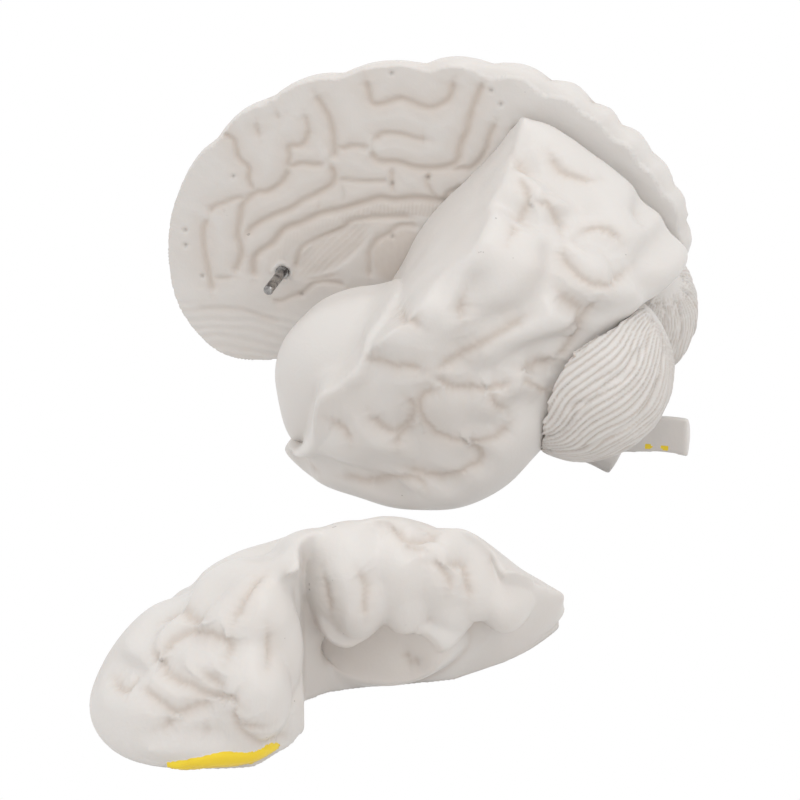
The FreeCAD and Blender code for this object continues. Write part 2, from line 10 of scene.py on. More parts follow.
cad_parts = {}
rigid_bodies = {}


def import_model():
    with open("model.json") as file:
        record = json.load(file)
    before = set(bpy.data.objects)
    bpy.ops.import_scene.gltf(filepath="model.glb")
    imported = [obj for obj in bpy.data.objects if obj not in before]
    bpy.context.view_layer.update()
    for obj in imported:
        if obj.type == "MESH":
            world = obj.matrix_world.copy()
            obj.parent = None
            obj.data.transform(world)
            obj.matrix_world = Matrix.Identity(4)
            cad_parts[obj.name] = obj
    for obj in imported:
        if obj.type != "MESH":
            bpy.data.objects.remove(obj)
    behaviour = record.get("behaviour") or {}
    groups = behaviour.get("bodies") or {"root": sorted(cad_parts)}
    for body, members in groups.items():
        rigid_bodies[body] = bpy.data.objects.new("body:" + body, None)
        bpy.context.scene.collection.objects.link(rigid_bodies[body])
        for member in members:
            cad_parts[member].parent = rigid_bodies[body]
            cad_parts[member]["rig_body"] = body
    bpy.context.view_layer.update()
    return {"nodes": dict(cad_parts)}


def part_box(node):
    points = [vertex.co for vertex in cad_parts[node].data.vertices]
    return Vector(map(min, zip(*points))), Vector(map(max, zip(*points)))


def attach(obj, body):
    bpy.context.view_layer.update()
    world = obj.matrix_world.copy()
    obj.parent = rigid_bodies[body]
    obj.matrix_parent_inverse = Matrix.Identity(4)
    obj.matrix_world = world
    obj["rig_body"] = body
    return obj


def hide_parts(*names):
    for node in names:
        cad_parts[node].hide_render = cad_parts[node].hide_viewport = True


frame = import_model()

MM = 0.001
BODY_OF = {name: node["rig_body"] for name, node in frame["nodes"].items()}

# Places on the model are given in mm as drawn: X backward, Y to the right of the parting plane, Z up.
# The front pin, drawn at X -47 and Z 57, ties the drawing to the frame.
PIN_X, PIN_Z = -47.0, 57.0
pin_low, pin_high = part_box("front_pin")
PARTING_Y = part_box("right_hemisphere")[0].y
ORIGIN = np.array([(pin_low.x + pin_high.x) / 2 - PIN_X * MM,
                   PARTING_Y,
                   (pin_low.z + pin_high.z) / 2 - PIN_Z * MM])
# The near front part is drawn in the same way and lies turned on its flat face.
LYING_SHIFT, LYING_DISTANCE, LYING_GAP = 33.5, 219.0, 0.3

# Mesh sizes of the pieces, in mm.
HALF_VOXEL = 1.15
REAR_VOXEL = 0.72
FRONT_VOXEL = 0.66
SMALL_VOXEL = 0.6
# The hollows that hold the broad painted shade are broad, those that hold the painted shade of grooves are
# tight. Both are in mm.
BROAD = 4.5
TIGHT = 1.4
# Spacing of the places on a line, over the folds and on the fine features, in mm.
LINE_STEP = 0.7
FINE_STEP = 0.4
# Creases: how near to a line a mesh place has to be, how long a line's end takes to fade and how faint it
# gets, the valley beside a crease, and the swelling between creases. All but the faintness are in mm.
DRAPE_REACH = 1.5
FADE_LENGTH = 4.0
LEAST_FADE = 0.25
VALLEY_DEPTH = 0.85
VALLEY_WIDTH = 3.4
SWELL_HEIGHT = 0.35
SWELL_REACH = 7


def drawn(points, lying=False):
    """Frame points in metres as drawn places in mm."""
    mm = (points - ORIGIN) / MM
    if not lying:
        return mm
    along = mm[:, 0] - LYING_SHIFT
    across = -points[:, 2] / MM - LYING_GAP
    up = mm[:, 1] + LYING_DISTANCE
    return np.stack([along, across, up], 1)


def smooth_step(values, low, high):
    share = np.clip((values - low) / (high - low), 0, 1)
    return share * share * (3 - 2 * share)


def bell(distance, width):
    return np.exp(-(distance / width)**2)


def waves(points, length, seed, count=9):
    """Soft irregular hills of about a wave length, from -1 to 1."""
    rng = np.random.default_rng(seed)
    total = np.zeros(len(points))
    for _ in range(count):
        direction = rng.normal(size=points.shape[1])
        direction *= rng.uniform(0.7, 1.4) / np.linalg.norm(direction)
        total += np.sin(points @ direction * (2 * math.pi / length) + rng.uniform(0, 2 * math.pi))
    return total / (count / 2)


def smooth_line(points, step=LINE_STEP):
    """Evenly spaced places on a smooth curve through points, with how far each is from the nearer end."""
    points = np.array(points, float)
    ends = np.vstack([2 * points[0] - points[1], points, 2 * points[-1] - points[-2]])
    fine = []
    for before, first, second, after in zip(ends, ends[1:], ends[2:], ends[3:]):
        for t in np.linspace(0, 1, 24, endpoint=False):
            fine.append(0.5 * (2 * first + (second - before) * t
                               + (2 * before - 5 * first + 4 * second - after) * t**2
                               + (3 * first - before - 3 * second + after) * t**3))
    fine = np.array(fine + [points[-1]])
    along = np.concatenate([[0], np.cumsum(np.linalg.norm(np.diff(fine, axis=0), axis=1))])
    places = np.linspace(0, along[-1], max(2, int(along[-1] / step)))
    line = np.stack([np.interp(places, along, fine[:, axis]) for axis in range(fine.shape[1])], 1)
    return line, np.minimum(places, along[-1] - places)


def nearest(points, targets):
    """Distance from each point to the nearest target, and which target that is."""
    tree = KDTree(len(targets))
    width = targets.shape[1]
    for index, target in enumerate(targets):
        tree.insert((*target, *(0.0,) * (3 - width)), index)
    tree.balance()
    distance = np.empty(len(points))
    which = np.empty(len(points), int)
    for index, point in enumerate(points):
        _, which[index], distance[index] = tree.find((*point, *(0.0,) * (3 - width)))
    return distance, which


def read_all(items, key, width, kind=float):
    """The values that mesh items keep under key, one row an item."""
    values = np.empty(len(items) * width, kind)
    items.foreach_get(key, values)
    return values.reshape(-1, width)


class Skin:
    """Fine even mesh over a CAD node, with its vertices as arrays."""

    def __init__(self, name, voxel, side=1, lying=False, finer=None, swellings=()):
        self.name, self.side, self.lying = name, side, lying
        self.spacing = voxel * MM
        self.mesh = self.even_mesh(swellings)
        if finer:
            self.divide(finer)
        self.points = read_all(self.mesh.vertices, "co", 3)
        self.edges = read_all(self.mesh.edges, "vertices", 2, int)
        self.links = np.bincount(self.edges.ravel(), minlength=len(self.points)).astype(float)
        self.normals = read_all(self.mesh.vertex_normals, "vector", 3)
        # The first two colours are painted shade, in grooves and in broad hollows; dark is painted shade in
        # the pits; paint is the yellow paint.
        self.colours = {key: np.zeros(len(self.points)) for key in ("groove_shade", "shade", "paint", "dark")}

    def even_mesh(self, swellings):
        """The node's mesh, joined with the swellings and made anew of small even faces."""
        copy = bpy.data.objects.new(self.name + "_work", frame["nodes"][self.name].data.copy())
        if swellings:
            self.join_swellings(copy.data, swellings)
        bpy.context.scene.collection.objects.link(copy)
        remesh = copy.modifiers.new("even", "REMESH")
        remesh.mode = "VOXEL"
        remesh.voxel_size = self.spacing
        graph = bpy.context.evaluated_depsgraph_get()
        mesh = bpy.data.meshes.new_from_object(copy.evaluated_get(graph))
        bpy.data.objects.remove(copy)
        mesh.name = self.name + "_skin"
        return mesh

    def join_swellings(self, mesh, swellings):
        """Adds rounded bodies to the lying part's mesh, to be fused with it. Each is given as its centre and
        its half sizes in drawn mm."""
        work = bmesh.new()
        work.from_mesh(mesh)
        for (x, y, z), (along, out, up) in swellings:
            centre = ORIGIN + np.array([x + LYING_SHIFT, z - LYING_DISTANCE, 0]) * MM
            centre[2] = (-y - LYING_GAP) * MM
            sizes = Matrix.Diagonal((along * MM, up * MM, out * MM, 1))
            shape = Matrix.Translation(Vector(centre)) @ sizes
            bmesh.ops.create_icosphere(work, subdivisions=4, radius=1, matrix=shape)
        work.to_mesh(mesh)
        work.free()

    def divide(self, chosen):
        """Halves the mesh where chosen says so of the vertex places."""
        work = bmesh.new()
        work.from_mesh(self.mesh)
        places = np.array([vertex.co for vertex in work.verts])
        wanted = chosen(drawn(places, self.lying))
        edges = [edge for edge in work.edges if wanted[edge.verts[0].index] and wanted[edge.verts[1].index]]
        bmesh.ops.subdivide_edges(work, edges=edges, cuts=1, use_grid_fill=True)
        bmesh.ops.triangulate(work, faces=[face for face in work.faces if len(face.verts) > 4])
        work.to_mesh(self.mesh)
        work.free()

    def drawn(self):
        return drawn(self.points, self.lying)

    def outward(self):
        """How much each vertex faces away from the parting plane."""
        return self.normals[:, 2] if self.lying else self.normals[:, 1] * self.side

    def blurred(self, values, scale):
        """Values averaged over neighbours, out to about a scale in mm."""
        rounds = max(1, int(4 * (scale * MM / self.spacing)**2))
        first, second = self.edges.T
        out = values.astype(float).reshape(len(values), -1).copy()
        for _ in range(rounds):
            for axis in range(out.shape[1]):
                column = out[:, axis]
                total = np.bincount(first, column[second], len(out))
                total += np.bincount(second, column[first], len(out))
                out[:, axis] = 0.5 * column + 0.5 * total / self.links
        return out[:, 0] if values.ndim == 1 else out

    def hollow(self, scale):
        """How deep each place lies under its surroundings, in mm: positive in furrows."""
        return np.einsum("ij,ij->i", self.blurred(self.points, scale) - self.points, self.normals) / MM

    def place(self, points):
        """Puts the vertices at points of the frame, in metres."""
        self.points = points
        self.mesh.vertices.foreach_set("co", self.points.ravel())
        self.mesh.update()
        self.normals = read_all(self.mesh.vertex_normals, "vector", 3)

    def place_drawn(self, places):
        """Puts the vertices at drawn places, in mm."""
        if self.lying:
            change = (places - self.drawn()) * MM
            self.place(self.points + change[:, [0, 2, 1]] * (1, 1, -1))
        else:
            self.place(ORIGIN + places * MM)

    def push(self, outward):
        """Moves each vertex along its normal by a distance in mm."""
        self.place(self.points + self.normals * (outward * MM)[:, None])

    def tint(self, key, values):
        self.colours[key] = np.maximum(self.colours[key], values)

    def drape(self, lines, axes, chosen):
        """The chosen mesh places that lie under lines drawn in two axes, with how far each is from an end."""
        places = self.drawn()[chosen]
        lines, ends = zip(*(smooth_line(points) for points in lines))
        away, which = nearest(np.vstack(lines), places[:, axes])
        kept = away < DRAPE_REACH
        return places[which[kept]], np.concatenate(ends)[kept]

    def crease(self, outer_lines, lower_lines=(), cut=0.6, width=1.1):
        """Cuts creases, swells the folds between and paints shade along the creases. Outer lines are laid
        over the outer side. Lower ones come as (lines, least X, greatest X, greatest Z) and are laid over the
        lying part's lower side."""
        places = self.drawn()
        draped = [self.drape(outer_lines, [0, 2], self.outward() > 0.02)]
        for lines, least_x, most_x, most_z in lower_lines:
            there = (places[:, 0] > least_x) & (places[:, 0] < most_x) & (places[:, 2] < most_z)
            draped.append(self.drape(lines, [0, 1], there & (self.normals[:, 1] < -0.1)))
        targets = np.vstack([found for found, _ in draped])
        ends = np.concatenate([end for _, end in draped])
        away, which = nearest(places, targets)
        fade = np.clip(ends / FADE_LENGTH, LEAST_FADE, 1)[which]
        rough = 1 + 0.25 * waves(places, 11, 5)
        depth = VALLEY_DEPTH * bell(away, VALLEY_WIDTH) + cut * bell(away, width * rough)
        self.push(SWELL_HEIGHT * (1 - bell(away, SWELL_REACH)) - fade * depth)
        # Painted shade along each crease, tight and broad.
        self.tint("groove_shade", 0.5 * fade * bell(away, width))
        self.tint("shade", 0.5 * fade * bell(away, width * 2.6))

    def finish(self, material):
        """Puts the skin in the place of its CAD node, with nothing of it under the table top."""
        self.points[:, 2] = np.maximum(self.points[:, 2], 0)
        self.place(self.points)
        piece = bpy.data.objects.new(self.name + "_skin", self.mesh)
        bpy.context.scene.collection.objects.link(piece)
        self.mesh.polygons.foreach_set("use_smooth", np.ones(len(self.mesh.polygons), bool))
        self.mesh.materials.clear()
        self.mesh.materials.append(material)
        for key, values in self.colours.items():
            attribute = self.mesh.attributes.new(key, "FLOAT", "POINT")
            attribute.data.foreach_set("value", np.clip(values, 0, 1).astype(np.float32))
        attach(piece, BODY_OF[self.name])
        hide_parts(self.name)


# Materials
def node_material(name):
    material = bpy.data.materials.new(name)
    material.use_nodes = True
    tree = material.node_tree
    return material, tree, tree.nodes["Principled BSDF"]


def noise(tree, scale, detail, coordinates):
    node = tree.nodes.new("ShaderNodeTexNoise")
    node.inputs["Scale"].default_value = scale
    node.inputs["Detail"].default_value = detail
    tree.links.new(coordinates, node.inputs["Vector"])
    return node.outputs["Fac"]


# Socket numbers of a colour mix node: its share, its two colours and its result.
MIX_SHARE, MIX_FIRST, MIX_SECOND, MIX_RESULT = 0, 6, 7, 2


def mix(tree, share, first, second):
    """Colour mix. The share is a socket, and each colour is a colour or a socket."""
    node = tree.nodes.new("ShaderNodeMix")
    node.data_type = "RGBA"
    tree.links.new(share, node.inputs[MIX_SHARE])
    for index, colour in ((MIX_FIRST, first), (MIX_SECOND, second)):
        if isinstance(colour, bpy.types.NodeSocket):
            tree.links.new(colour, node.inputs[index])
        else:
            node.inputs[index].default_value = (*colour, 1)
    return node.outputs[MIX_RESULT]


def ramp(tree, value, low, high, low_out=0.0, high_out=1.0):
    node = tree.nodes.new("ShaderNodeMapRange")
    node.interpolation_type = "SMOOTHSTEP"
    node.inputs["From Min"].default_value = low
    node.inputs["From Max"].default_value = high
    node.inputs["To Min"].default_value = low_out
    node.inputs["To Max"].default_value = high_out
    tree.links.new(value, node.inputs["Value"])
    return node.outputs["Result"]


def attribute(tree, name):
    node = tree.nodes.new("ShaderNodeAttribute")
    node.attribute_name = name
    return node.outputs["Fac"]


PLASTIC = (0.672, 0.643, 0.616)
PLASTIC_WARM = (0.655, 0.616, 0.582)
# Painted shade colours: warm tan for the grooves and for the broad hollows.
GROOVE_SHADE_TAN = (0.515, 0.438, 0.376)
SHADE_TAN = (0.620, 0.563, 0.516)
YELLOW = (0.86, 0.65, 0.03)
YELLOW_DEEP = (0.76, 0.50, 0.01)
# The specks' own dark colour, also used for the painted shade in the pits.
SPECK_AND_PIT_SHADE = (0.20, 0.17, 0.15)
STEEL_BRIGHT = (0.42, 0.41, 0.40)
STEEL_DULL = (0.13, 0.12, 0.12)


def speck_share(tree, place):
    """Small dark specks, which come in a few areas only."""
    specks = ramp(tree, noise(tree, 420, 2, place), 0.735, 0.76, 0.0, 0.5)
    areas = ramp(tree, noise(tree, 30, 1, place), 0.55, 0.62)
    both = tree.nodes.new("ShaderNodeMath")
    both.operation = "MULTIPLY"
    tree.links.new(specks, both.inputs[0])
    tree.links.new(areas, both.inputs[1])
    return both.outputs[0]


def fine_bump(tree, place, shader):
    """The plastic's slightly uneven surface."""
    bump = tree.nodes.new("ShaderNodeBump")
    bump.inputs["Strength"].default_value = 0.15
    bump.inputs["Distance"].default_value = 0.0004
    tree.links.new(noise(tree, 900, 3, place), bump.inputs["Height"])
    tree.links.new(bump.outputs["Normal"], shader.inputs["Normal"])


def plastic_material(name):
    """Unpainted moulded plastic: off-white, with painted warm tan shade in the grooves and hollows, dark
    painted shade in the pits and yellow where it is painted.
    """
    material, tree, shader = node_material(name)
    place = tree.nodes.new("ShaderNodeTexCoord").outputs["Object"]
    patches = ramp(tree, noise(tree, 22, 3, place), 0.35, 0.7)
    colour = mix(tree, patches, PLASTIC, PLASTIC_WARM)
    # Painted shade: the next two mixes turn hollows and grooves warm tan.
    colour = mix(tree, attribute(tree, "shade"), colour, SHADE_TAN)
    colour = mix(tree, attribute(tree, "groove_shade"), colour, GROOVE_SHADE_TAN)
    colour = mix(tree, speck_share(tree, place), colour, SPECK_AND_PIT_SHADE)
    # Painted shade in the middle of each pit, from the dark attribute.
    colour = mix(tree, attribute(tree, "dark"), colour, SPECK_AND_PIT_SHADE)
    paint = ramp(tree, attribute(tree, "paint"), 0.42, 0.58)
    streaks = ramp(tree, noise(tree, 160, 2, place), 0.3, 0.7, 0.0, 0.35)
    colour = mix(tree, paint, colour, mix(tree, streaks, YELLOW, YELLOW_DEEP))
    tree.links.new(colour, shader.inputs["Base Color"])
    tree.links.new(ramp(tree, noise(tree, 60, 4, place), 0.3, 0.7, 0.36, 0.50), shader.inputs["Roughness"])
    shader.inputs["Subsurface Weight"].default_value = 0.10
    shader.inputs["Subsurface Radius"].default_value = (0.003, 0.0018, 0.0012)
    shader.inputs["Specular IOR Level"].default_value = 0.45
    fine_bump(tree, place, shader)
    return material


def steel_material():
    """Bright locating pin with a turned grain and dull marks."""
    material, tree, shader = node_material("pin_steel")
    place = tree.nodes.new("ShaderNodeTexCoord").outputs["Object"]
    marks = ramp(tree, noise(tree, 300, 4, place), 0.4, 0.65)
    tree.links.new(mix(tree, marks, STEEL_BRIGHT, STEEL_DULL), shader.inputs["Base Color"])
    tree.links.new(ramp(tree, noise(tree, 700, 2, place), 0.3, 0.7, 0.22, 0.45), shader.inputs["Roughness"])
    shader.inputs["Metallic"].default_value = 1.0
    return material


plastic = plastic_material("moulded_plastic")
steel = steel_material()

# Furrows of the far half's outer side, each as a few (X, Z) places seen from the side, as drawn.
REAR_FURROWS = [
    [(34, 110), (45, 103), (55, 97), (46, 95)],
    [(51, 93), (57, 90), (64, 86), (67, 77)],
    [(46, 90), (48, 83), (53, 75), (60, 70), (67, 71)],
    [(47, 83), (41, 75), (29, 71), (24, 67), (18, 60), (17, 55)],
    [(26, 83), (24, 78), (25, 73)],
    [(18, 55), (33, 56), (41, 62), (50, 64), (58, 66)],
    [(42, 61), (45, 56), (50, 52)],
    [(13, 52), (14, 44), (22, 40), (34, 38), (39, 46), (45, 42)],
    [(8, 37), (10, 29), (20, 27), (30, 30)],
    [(-4, 22), (6, 23), (14, 21), (21, 17)],
    [(-6, 60), (7, 58), (18, 56)],
    [(-28, 13), (-18, 18), (-4, 16), (8, 10)],
    [(-23, 32), (-17, 38), (-6, 45), (-1, 52)],
    [(78, 88), (70, 82), (74, 72)],
]
FRONT_FURROWS = [
    [(18, 129), (10, 110), (2, 92), (-6, 74)],
    [(-2, 129), (-10, 108), (-20, 90), (-26, 72)],
    [(-12, 108), (-32, 104), (-52, 94), (-66, 80)],
    [(-24, 84), (-40, 80), (-56, 72), (-70, 60)],
    [(-80, 74), (-66, 72), (-62, 58), (-72, 44)],
    [(-38, 62), (-46, 74), (-44, 84)],
    [(-36, 50), (-52, 52), (-60, 42), (-58, 30)],
    [(-76, 44), (-68, 36), (-58, 40), (-46, 34)],
    [(-28, 123), (-24, 112), (-32, 104)],
    [(-50, 114), (-44, 102), (-52, 94)],
    [(-68, 100), (-60, 90), (-66, 80)],
]
TOP_REAR_FURROWS = [
    [(36, 128), (28, 108), (20, 92), (14, 76)],
    [(26, 104), (42, 96), (51, 93)],
    [(50, 122), (44, 112)],
    [(59, 115), (51, 106)],
    [(68, 106), (59, 98)],
    [(75, 97), (65, 90)],
    [(82, 85), (70, 81)],
]

# Creases of the near parts as the photograph shows them: on the outer side as (X, Z) places, and on the
# lying lobe's lower side and its operculum as (X, Y) places seen from below.
REAR_CREASES = [
    [(-7, 57), (0, 56), (9, 57), (14, 56)],
    [(-1, 67), (7, 71), (13, 69)],
    [(23, 79), (22, 75), (23, 70)],
    [(15, 56), (20, 59), (28, 65), (35, 70), (41, 73)],
    [(15, 56), (20, 51), (27, 51), (38, 53)],
    [(37, 57), (43, 56), (49, 57)],
    [(40, 56), (42, 52), (48, 46)],
    [(18, 51), (12, 48), (11, 43), (13, 38), (17, 34), (25, 33), (32, 35), (37, 40)],
    [(6, 48), (9, 45), (8, 39), (4, 35), (-1, 36), (-5, 40)],
    [(4, 28), (4, 32), (6, 35), (10, 37)],
    [(4, 22), (10, 21), (17, 20), (24, 24), (28, 28), (24, 34)],
    [(-16, 14), (-4, 15), (4, 18), (9, 19), (13, 15)],
    [(-18, 36), (-12, 33), (-10, 28)],
    [(-28, 13), (-23, 13)],
    [(30, 52), (31, 50), (36, 41)],
    [(27, 108), (33, 105), (36, 100), (33, 92)],
    [(47, 90), (49, 86), (56, 81), (62, 79), (66, 81)],
    [(50, 90), (54, 92), (59, 91), (63, 87)],
    [(47, 79), (51, 75), (54, 71), (52, 64)],
    [(59, 75), (55, 70), (51, 61), (47, 56)],
    [(38, 110), (43, 105), (49, 103), (54, 102)],
    [(37, 100), (42, 99), (45, 94), (47, 90)],
]
FRONT_CREASES = [
    [(-66, 53), (-62, 54), (-56, 49), (-50, 43)],
    [(-42, 38), (-40, 44), (-37, 54)],
    [(-13, 78), (-10, 78), (-4, 75), (0, 78)],
    [(-10, 80), (-9, 79), (-5, 76), (0, 80), (-1, 83), (-3, 83)],
]
LOWER_CREASES = [
    [(-66, -26), (-63, -24), (-58, -23), (-51, -23), (-45, -21), (-39, -22), (-35, -19)],
    [(-62, -23), (-60, -27), (-56, -30), (-49, -33), (-42, -33), (-42, -28)],
    [(-49, -27), (-45, -25), (-40, -23)],
    [(-66, -18), (-63, -19), (-58, -18), (-53, -16), (-48, -18), (-43, -20)],
    [(-66, -19), (-70, -16), (-77, -14)],
    [(-39, -21), (-38, -19), (-37, -14), (-34, -10), (-28, -3)],
    [(-37, -18), (-34, -14), (-29, -13)],
    [(-53, -16), (-55, -13), (-59, -11)],
    [(-48, -12), (-43, -12)],
    [(-33, -37), (-32, -32), (-31, -26)],
]
OPERCULAR_CREASES = [
    [(-25, -42), (-24, -39), (-23, -34), (-23, -28)],
    [(-16, -43), (-13, -38), (-13, -34), (-13, -28)],
    [(0, -42), (4, -41), (7, -37), (6, -33)],
    [(4, -42), (9, -39), (11, -33), (11, -29)],
]

# Grooves of the far half's flat inner face: (X, Z) places, half width and depth in mm.
INNER_GROOVES = [
    ([(-56, 53), (-56, 60), (-54, 63), (-50, 66), (-46, 71), (-40, 74), (-35, 77), (-29, 79),
      (-21, 82), (-16, 84), (-11, 84), (-5, 85), (3, 85), (14, 84)], 1.1, 1.3),
    ([(-43, 57), (-42, 62), (-40, 66), (-34, 70), (-28, 73), (-24, 76), (-15, 78), (-5, 79)],
     0.9, 0.9),
    ([(-59, 67), (-56, 71), (-50, 75), (-44, 78), (-40, 81), (-35, 84), (-31, 87), (-30, 90),
      (-31, 93), (-32, 94)], 1.0, 1.1),
    ([(-32, 94), (-36, 93), (-40, 93), (-44, 92), (-44, 95), (-44, 98), (-40, 99),
      (-38, 103), (-38, 106)], 0.9, 1.0),
    ([(-35, 82), (-35, 78), (-35, 77)], 0.6, 0.5),
    ([(-28, 88), (-27, 84), (-27, 81)], 0.6, 0.5),
    ([(-30, 89), (-26, 89), (-21, 89), (-12, 90)], 0.8, 0.8),
    ([(-44, 92), (-45, 89), (-47, 86), (-51, 83), (-55, 82), (-59, 78), (-60, 74),
      (-61, 68), (-60, 62), (-62, 56), (-62, 54)], 1.0, 1.1),
    ([(-55, 82), (-57, 86), (-57, 90), (-60, 93), (-61, 97), (-62, 99), (-66, 101)], 0.9, 1.0),
    ([(-70, 73), (-69, 76), (-65, 78), (-61, 80), (-57, 80)], 0.9, 0.9),
    ([(-70, 73), (-72, 69), (-72, 63), (-71, 56), (-70, 50), (-70, 47)], 0.9, 0.9),
    ([(-70, 53), (-66, 53), (-62, 54)], 0.7, 0.7),
    ([(-60, 61), (-56, 61)], 0.6, 0.6),
    ([(-54, 106), (-54, 103), (-53, 99)], 0.8, 0.8),
    ([(-48, 110), (-47, 105)], 0.7, 0.7),
    ([(-39, 110), (-38, 103), (-40, 100)], 0.8, 0.8),
    ([(-36, 116), (-33, 111), (-31, 107), (-30, 101), (-30, 97), (-32, 95)], 1.0, 1.1),
    ([(-30, 100), (-27, 99), (-24, 100), (-18, 100)], 0.9, 0.9),
    ([(-51, 48), (-48, 47), (-44, 49), (-40, 51), (-37, 54), (-33, 55), (-29, 55),
      (-26, 54)], 0.8, 0.8),
    ([(-40, 55), (-35, 56), (-29, 58)], 0.7, 0.6),
    ([(-76, 42), (-66, 43), (-60, 43), (-53, 41), (-47, 40)], 0.9, 0.4),
    ([(-18, 100), (-18, 98), (-16, 96), (-10, 96), (-5, 95), (0, 95), (5, 96), (8, 98),
      (9, 103), (11, 108), (12, 113), (14, 119), (16, 124)], 1.0, 1.1),
    ([(-18, 101), (-16, 104), (-13, 105), (-9, 105), (-4, 104), (0, 104)], 0.9, 0.9),
    ([(-11, 95), (-12, 93), (-12, 90), (-12, 88), (-11, 85)], 0.8, 0.8),
    ([(0, 95), (-1, 91), (0, 88), (3, 85), (6, 88), (11, 91)], 0.8, 0.8),
    ([(5, 95), (10, 96), (12, 96), (15, 99), (17, 103), (18, 107), (20, 112)], 0.9, 0.9),
    ([(-20, 122), (-19, 117), (-18, 114), (-15, 114), (-10, 116), (-8, 116), (-1, 114),
      (4, 116), (6, 119), (7, 124)], 1.0, 1.0),
    ([(-19, 57), (-19, 62), (-19, 66), (-17, 70), (-13, 73), (-9, 76), (-3, 76)], 0.9, 0.8),
    ([(25, 112), (26, 109), (30, 107)], 0.8, 0.8),
]
CALLOSUM_LINE = [(-50, 58), (-48, 63), (-44, 68), (-38, 72), (-30, 76), (-22, 79.5), (-15, 81),
                 (-5, 82), (4, 82)]
INNER_PITS = [(-62, 87), (-78, 68), (-78, 63), (-73, 53), (-41, 50), (-12, 89), (-1, 92),
              (-12, 72), (-12, 124), (18, 121), (21, 117)]
PINS = [(PIN_X, PIN_Z), (38, 90), (64, 77)]
PIN_CLEARANCE = 3.4
# How far in from the flat face the far half's mesh is made finer, in mm.
FINER_DEPTH = 1.4


def oval(x, z, centre_x, centre_z, half_long, half_short, degrees):
    """1 in the middle of a turned oval, falling to 0 past its rim."""
    turn = math.radians(degrees)
    along = (x - centre_x) * math.cos(turn) + (z - centre_z) * math.sin(turn)
    across = (z - centre_z) * math.cos(turn) - (x - centre_x) * math.sin(turn)
    return 1 - smooth_step(np.hypot(along / half_long, across / half_short), 0.75, 1.15)


def stripes(phase, pitch):
    """Soft stripes from 0 to 1, one for each pitch of phase."""
    return 0.5 + 0.5 * np.sin(2 * math.pi * phase / pitch)


# The features of the flat inner face follow. Each function takes the face's (X, Z) places and gives three
# values a place: the depth in mm, the share of painted shade in grooves and the share of broad painted shade.
def carved_grooves(plane):
    """Winding carved lines in a soft broad valley."""
    depth, groove_shade, broad = np.zeros((3, len(plane)))
    wobble = 1 + 0.18 * waves(plane, 6, 8)
    for points, width, deep in INNER_GROOVES:
        line, end = smooth_line(points, FINE_STEP)
        away, which = nearest(plane, line)
        fade = np.clip(end[which] / 2.5, 0.3, 1)
        strength = min(1, deep) * fade
        depth = np.maximum(depth, deep * fade * bell(away, width * wobble))
        groove_shade = np.maximum(groove_shade, strength * bell(away, width * 1.05))
        broad = np.maximum(broad, strength * bell(away, 4.2))
    return 0.68 * depth + 0.4 * broad, groove_shade, 0.7 * broad


def callosum(plane):
    """Hatched band, strongest in the middle of its length."""
    x, z = plane.T
    line, _ = smooth_line(CALLOSUM_LINE, FINE_STEP)
    away, _ = nearest(plane, line)
    band = 1 - smooth_step(away, 2.1, 3.0)
    hatch = stripes(x + 0.4 * np.sin(z / 2.3) + 0.15 * waves(plane, 4, 2), 1.25)
    strength = band * (0.35 + 0.65 * smooth_step(x, -34, -24) * (1 - smooth_step(x, 0, 6)))
    return 0.28 * strength * hatch, 0.55 * strength * hatch, 0.6 * band


def septum(plane):
    """Sunk hatched oval under the callosum."""
    x, z = plane.T
    area = oval(x, z, -31, 65.5, 15, 5.2, 38)
    hatch = stripes(x * 0.75 - z * 0.66 + 0.3 * np.sin(x / 3), 1.6)
    return area * (0.5 + 0.18 * hatch), 0.30 * area * hatch, 0.75 * area


def thalamus(plane):
    """Darker mottled round area."""
    x, z = plane.T
    area = oval(x, z, -9, 66, 11, 10, 0)
    return 0 * area, area * (0.28 + 0.12 * waves(plane, 3, 4)), 0.85 * area


def ripples(plane):
    """Faint wavy lines low down in front."""
    x, z = plane.T
    area = (1 - smooth_step(z, 40, 47)) * (1 - smooth_step(x, -45, -36))
    ripple = stripes(z + 1.4 * np.sin(x / 8) + 0.6 * waves(plane, 14, 6), 3.1)
    return 0.18 * area * ripple, 0 * area, 0.25 * area * ripple


def inner_face(skin):
    """Carves and colours the far half's flat inner face, clear of the pins."""
    places = skin.drawn()
    pins = np.min([np.hypot(places[:, 0] - x, places[:, 2] - z) for x, z in PINS], axis=0)
    facing = (places[:, 1] < 1.0) & (skin.normals[:, 1] < -0.3)
    flat = np.flatnonzero((facing | (places[:, 1] < 0.25)) & (pins > PIN_CLEARANCE))
    plane = np.stack([places[flat, 0], places[flat, 2]], 1)
    features = [feature(plane) for feature in (carved_grooves, callosum, septum, thalamus, ripples)]
    pits, _ = nearest(plane, np.array(INNER_PITS, float))
    depth = sum(deep for deep, _, _ in features) + 0.7 * bell(pits, 0.75)
    depth += 0.10 * (1 + waves(plane, 17, 21)) + 0.04 * (1 + waves(plane, 5, 22))
    points = skin.points.copy()
    points[flat, 1] = PARTING_Y + depth * MM
    skin.place(points)
    # Painted shade: tight in the carved lines and hatching, broad round the lines and over the marked areas.
    colours = {"groove_shade": 0.6 * np.max([groove_shade for _, groove_shade, _ in features], axis=0),
               "shade": np.max([shade for _, _, shade in features], axis=0),
               # Painted shade in the middle of each pit.
               "dark": 0.5 * bell(pits, 0.5)}
    for key, values in colours.items():
        full = np.zeros(len(points))
        full[flat] = values
        skin.tint(key, full)


def soften(skin, amount=0.8, scale=0.9):
    """Evens out small steps, by a share that is one value or one a vertex."""
    share = np.broadcast_to(amount, len(skin.points))[:, None]
    skin.place(skin.points + share * (skin.blurred(skin.points, scale) - skin.points))


